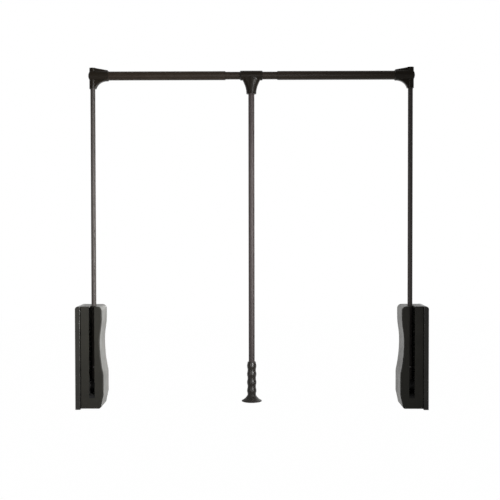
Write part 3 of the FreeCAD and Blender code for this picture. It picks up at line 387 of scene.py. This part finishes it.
def wind_spring(bm, low, high):
    """A round wire spun up its axis: close turns, open turns, close turns."""
    axis = (low + high) / 2
    mean = (high.x - low.x - spring_wire) / 2
    start = Vector((axis.x + mean, axis.y, low.z + spring_wire / 2))
    turn = Matrix.Translation(start) @ Matrix.Rotation(math.radians(90), 4, "X")
    bmesh.ops.create_circle(bm, segments=wire_sides, radius=spring_wire / 2, matrix=turn)
    rise = high.z - low.z - spring_wire - 2 * end_turns * end_pitch
    ring = list(bm.verts) + list(bm.edges)
    bmesh.ops.contextual_create(bm, geom=list(bm.edges))
    for turns, pitch in ((end_turns, end_pitch), (open_turns, rise / open_turns), (end_turns, end_pitch)):
        spun = bmesh.ops.spin(bm, geom=ring, cent=axis, axis=(0, 0, 1), dvec=(0, 0, pitch / steps_per_turn),
                              angle=2 * math.pi * turns, steps=turns * steps_per_turn, use_merge=False)
        ring = spun["geom_last"]
    bmesh.ops.contextual_create(bm, geom=[part for part in ring if isinstance(part, bmesh.types.BMEdge)])
    for face in bm.faces:
        face.smooth = len(face.verts) == 4


for side in SIDES:
    low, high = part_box(f"{side}_lift_spring")
    spring = new_piece(f"{side}_wound_spring", lambda bm: wind_spring(bm, low, high), oiled_wire,
                       f"{side}_housing")
    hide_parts(f"{side}_lift_spring")
    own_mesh(spring)

# Arm tubes: 12 mm steel tube with a grey-brown satin powder coat, pinned to the hubs.
# The coat has a slight orange peel, and hands leave faint marks along it.
dust_on_paint = (0.28, 0.27, 0.25)


def painted_tube(name, tint, shade, roughness, upright, specular):
    """Powder coat on drawn tube: orange peel, long faint streaks, handling stains and dust on top."""
    material = bpy.data.materials.new(name)
    material.use_nodes = True
    tree = material.node_tree
    surface = tree.nodes["Principled BSDF"]
    streaks = add_node(tree, "ShaderNodeGroup", node_tree=streak_group)
    streaks.inputs["Across"].default_value = 420.0
    streaks.inputs["Along"].default_value = 6.0
    streaks.inputs["Upright"].default_value = upright
    grain = add_node(tree, "ShaderNodeGroup", node_tree=grain_group)
    grain.inputs["Pit Scale"].default_value = 820.0
    settled = add_node(tree, "ShaderNodeGroup", node_tree=dust_group)
    settled.inputs["Amount"].default_value = 0.12
    colour = blend_colour(tree, streaks.outputs["Streak"], shade, tint)
    handled = tuple(channel * 1.22 for channel in tint)
    colour = blend_colour(tree, calc(tree, "MULTIPLY", streaks.outputs["Stain"], 0.3), colour, handled)
    colour = blend_colour(tree, settled.outputs["Mask"], colour, dust_on_paint)
    tree.links.new(colour, surface.inputs["Base Color"])
    gloss = remap(tree, streaks.outputs["Stain"], 0.0, 1.0, roughness - 0.03, roughness + 0.07)
    gloss = calc(tree, "ADD", gloss, calc(tree, "MULTIPLY", grain.outputs["Mottle"], 0.05))
    tree.links.new(gloss, surface.inputs["Roughness"])
    peel = add_node(tree, "ShaderNodeBump", [(grain.outputs["Height"], "Height")], Strength=0.35, Distance=0.00003)
    tree.links.new(peel.outputs["Normal"], surface.inputs["Normal"])
    surface.inputs["Specular IOR Level"].default_value = specular
    return material


arm_paint = painted_tube("arm_grey_brown_paint", tint=(0.058, 0.05, 0.046), shade=(0.046, 0.04, 0.037),
                         roughness=0.52, upright=1.0, specular=0.25)
dress(arm_paint, *(f"{side}_arm_tube" for side in SIDES))

# Elbows: near-black moulded corners that hold arm and rail, with a web over the top and a hollow gusset.
# Satin from a polished mould.
fitting_plastic = moulded_plastic("fitting_black_plastic", tint=(0.016, 0.0115, 0.007), shade=(0.0116, 0.0083, 0.005),
                                  roughness=0.36, specular=0.33, pit_scale=1700.0, pit_depth=0.00002, dust=0.18)
dress(fitting_plastic, *(f"{side}_elbow" for side in SIDES))

# Set screws: headless plated screws with a hexagon socket, sunk flush in the elbows and the tee from behind.
# They bite on the tubes.
set_radius = 0.002
set_length = 0.002
arm_set_rear = 0.00205
key_radius = 0.00115
key_depth = 0.0014


def socket_screws(bm, places, length):
    """Headless screws that point to the front from their rear ends, each with a hexagon socket."""
    for rear in places:
        turn = Matrix.Translation(rear) @ Matrix.Rotation(math.radians(90), 4, "X")
        outer = bmesh.ops.create_circle(bm, segments=24, radius=set_radius, matrix=turn)
        inner = bmesh.ops.create_circle(bm, segments=6, radius=key_radius, matrix=turn)
        rims = [[edge for edge in {edge for vert in ring["verts"] for edge in vert.link_edges}]
                for ring in (outer, inner)]
        bmesh.ops.bridge_loops(bm, edges=rims[0] + rims[1])
        for edges, run in zip(rims, (length, key_depth)):
            drawn_out = bmesh.ops.extrude_edge_only(bm, edges=edges)["geom"]
            bmesh.ops.translate(bm, vec=(0, -run, 0),
                                verts=[part for part in drawn_out if isinstance(part, bmesh.types.BMVert)])
            end = [part for part in drawn_out if isinstance(part, bmesh.types.BMEdge)
                   and all(abs(vert.co.y - (rear.y - run)) < cut_slack for vert in part.verts)]
            bmesh.ops.contextual_create(bm, geom=end)


for side in SIDES:
    low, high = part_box(f"{side}_elbow_screws")
    arm_end, rail_end = low.x + set_radius, high.x - set_radius
    if side == "right":
        arm_end, rail_end = rail_end, arm_end
    places = [Vector((rail_end, high.y, high.z - set_radius)),
              Vector((arm_end, low.y + arm_set_rear, low.z + set_radius))]
    screws = new_piece(f"{side}_socket_screws", lambda bm: socket_screws(bm, places, set_length),
                       zinc, f"{side}_frame")
    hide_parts(f"{side}_elbow_screws")

# Outer and inner rail tubes: steel tube, the inner one sliding in the outer ones, dark brown satin coat.
# The inner tube shows on both sides of the tee. All the tubes share one coat; the rail's darker, browner tint of it is
# painted shade.
rail_shaded_paint = painted_tube("rail_brown_painted_shade", tint=(0.032, 0.0222, 0.0148), shade=(0.025, 0.0172, 0.0113),
                          roughness=0.42, upright=0.0, specular=0.35)
dress(rail_shaded_paint, "left_outer_rail", "right_outer_rail", "inner_rail")

# Tee: a moulded sleeve that turns on the inner rail, its flared stem holding the handle rod.
# The same plastic as the elbows; a stop screw inside limits its swing.
dress(fitting_plastic, "tee")
dress(zinc, "tee_screw")

# Handle rod: 15 mm steel tube with the arms' grey-brown coat, held in the tee by a set screw behind; its lighter tint
# is painted light.
# It hangs free, and its coat is coloured darker towards the grip.
handle_lit_paint = painted_tube("handle_grey_brown_painted_light", tint=(0.077, 0.062, 0.06), shade=(0.062, 0.0492, 0.0481),
                            roughness=0.5, upright=1.0, specular=0.25)
grip_end_tint = (0.03, 0.024, 0.023)
grip_end_share = 0.6


def fade_down(tree, top, bottom, amount):
    """A value that grows from nothing at one level of a piece to an amount at a lower one."""
    level = tree.nodes.new("ShaderNodeSeparateXYZ")
    tree.links.new(tree.nodes.new("ShaderNodeTexCoord").outputs["Object"], level.inputs[0])
    return remap(tree, level.outputs["Z"], top, bottom, 0.0, amount)


low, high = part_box("handle_rod")
tree = handle_lit_paint.node_tree
coat = tree.nodes["Principled BSDF"].inputs["Base Color"]
towards_grip = fade_down(tree, high.z, low.z, grip_end_share)
tree.links.new(blend_colour(tree, towards_grip, coat.links[0].from_socket, grip_end_tint), coat)
dress(handle_lit_paint, "handle_rod")
low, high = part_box("handle_screw")
rear = Vector(((low.x + high.x) / 2, high.y, (low.z + high.z) / 2))
handle_set = new_piece("handle_socket_screw", lambda bm: socket_screws(bm, [rear], high.y - low.y),
                       zinc, "pull_handle")
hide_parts("handle_screw")

# Handle grip: dark brown moulded plastic with four swells for the hand and a flared foot.
# Hands keep the swells polished, so each carries a highlight; the foot stays dull.
grip_plastic = moulded_plastic("grip_brown_plastic", tint=(0.02, 0.0155, 0.0122), shade=(0.014, 0.0108, 0.0085),
                               roughness=0.39, specular=0.52, pit_scale=1500.0, pit_depth=0.00001, dust=0.12)
foot_height = 0.022
foot_dullness = 0.3
low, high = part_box("handle_grip")
tree = grip_plastic.node_tree
polish = tree.nodes["Principled BSDF"].inputs["Roughness"]
dull = fade_down(tree, low.z + foot_height, low.z + foot_height / 4, foot_dullness)
tree.links.new(calc(tree, "ADD", polish.links[0].from_socket, dull), polish)
dress(grip_plastic, "handle_grip")

# Floor: a pale studio floor below the lowest reach of the lowered rail, white to the camera and in reflections.
# It still takes the object's soft shadow.
floor_level = -1.25
floor_radius = 14.0
floor_grey = (0.86, 0.86, 0.86, 1)
floor_whiteness = 0.92
floor_glow = 1.06
bm = bmesh.new()
bmesh.ops.create_circle(bm, cap_ends=True, segments=96, radius=floor_radius,
                        matrix=Matrix.Translation((0, 0, floor_level)))
floor_mesh = bpy.data.meshes.new("studio_floor")
bm.to_mesh(floor_mesh)
bm.free()
floor = bpy.data.objects.new("studio_floor", floor_mesh)
bpy.context.scene.collection.objects.link(floor)
floor_paint = bpy.data.materials.new("pale_floor")
floor_paint.use_nodes = True
tree = floor_paint.node_tree
matt = tree.nodes["Principled BSDF"]
matt.inputs["Base Color"].default_value = floor_grey
matt.inputs["Roughness"].default_value = 0.9
rays = tree.nodes.new("ShaderNodeLightPath")
spread_out = tree.nodes.new("ShaderNodeSeparateXYZ")
tree.links.new(tree.nodes.new("ShaderNodeTexCoord").outputs["Object"], spread_out.inputs[0])
mirrored = calc(tree, "MULTIPLY", rays.outputs["Is Glossy Ray"], remap(tree, spread_out.outputs["Y"], 0.1, 1.2))
seen = calc(tree, "MAXIMUM", rays.outputs["Is Camera Ray"], rays.outputs["Is Transmission Ray"])
seen = calc(tree, "MAXIMUM", seen, mirrored)
glow = tree.nodes.new("ShaderNodeEmission")
glow.inputs["Strength"].default_value = floor_glow
mixed = tree.nodes.new("ShaderNodeMixShader")
tree.links.new(calc(tree, "MULTIPLY", seen, floor_whiteness), mixed.inputs[0])
tree.links.new(matt.outputs[0], mixed.inputs[1])
tree.links.new(glow.outputs[0], mixed.inputs[2])
tree.links.new(mixed.outputs[0], tree.nodes["Material Output"].inputs["Surface"])
floor_mesh.materials.append(floor_paint)

# Room: a white studio for the camera and for reflections from behind, dimmer on the camera's side.
# The same world gives a low even light.
room_light = (0.3, 0.3, 0.3)
studio_white = (1.0, 1.0, 1.0)
world = bpy.data.worlds.new("white_studio")
world.use_nodes = True
bpy.context.scene.world = world
tree = world.node_tree
backlight = tree.nodes["Background"]
rays = tree.nodes.new("ShaderNodeLightPath")
heading = tree.nodes.new("ShaderNodeSeparateXYZ")
tree.links.new(tree.nodes.new("ShaderNodeTexCoord").outputs["Generated"], heading.inputs[0])
behind = remap(tree, heading.outputs["Y"], -0.1, 0.7, 0.1, 1.0)
seen = calc(tree, "MAXIMUM", rays.outputs["Is Camera Ray"], rays.outputs["Is Transmission Ray"])
room = blend_colour(tree, rays.outputs["Is Glossy Ray"], room_light, behind)
tree.links.new(blend_colour(tree, seen, room, studio_white), backlight.inputs["Color"])
backlight.inputs["Strength"].default_value = 1.0

# Lamps: a soft key at the front right, aimed across at the left housing, and a weaker fill at the front left.
# A broad weak lamp behind on the right lights the left housing's inner side and top.


def softbox(name, spot, aim, width, height, power, spread):
    """A soft rectangular lamp turned towards a point, its beam kept to a spread in degrees."""
    lamp = bpy.data.lights.new(name, "AREA")
    lamp.shape = "RECTANGLE"
    lamp.size = width
    lamp.size_y = height
    lamp.energy = power
    lamp.spread = math.radians(spread)
    holder = bpy.data.objects.new(name, lamp)
    bpy.context.scene.collection.objects.link(holder)
    holder.location = spot
    holder.visible_camera = False
    holder.rotation_euler = (Vector(aim) - Vector(spot)).to_track_quat("-Z", "Y").to_euler()


softbox("key_softbox", spot=(0.65, -1.35, 0.5), aim=(-0.41, 0.0, 0.39),
        width=0.35, height=0.6, power=4.1, spread=46.0)
softbox("fill_softbox", spot=(-0.65, -1.35, 0.5), aim=(0.41, 0.0, 0.25),
        width=0.35, height=0.6, power=0.6, spread=46.0)
softbox("rim_softbox", spot=(0.5, 1.2, 0.6), aim=(-0.37, 0.0, 0.1),
        width=0.8, height=0.8, power=1.05, spread=30.0)

# Camera: level with the middle of the object, a little right of centre, 59 mm on a 36 mm picture.
# The small shift sets the picture's middle as the photograph has it.
camera = bpy.data.cameras.new("photo_camera")
camera.sensor_fit = "HORIZONTAL"
camera.sensor_width = 36.0
camera.lens = 59.11
camera.shift_y = -0.01347
viewer = bpy.data.objects.new("photo_camera", camera)
bpy.context.scene.collection.objects.link(viewer)
viewer.location = (0.0147, -2.0505, 0.44888)
viewer.rotation_euler = (math.radians(88.909), math.radians(0.082), math.radians(0.519))
bpy.context.scene.camera = viewer
bpy.context.scene.view_settings.view_transform = "Standard"
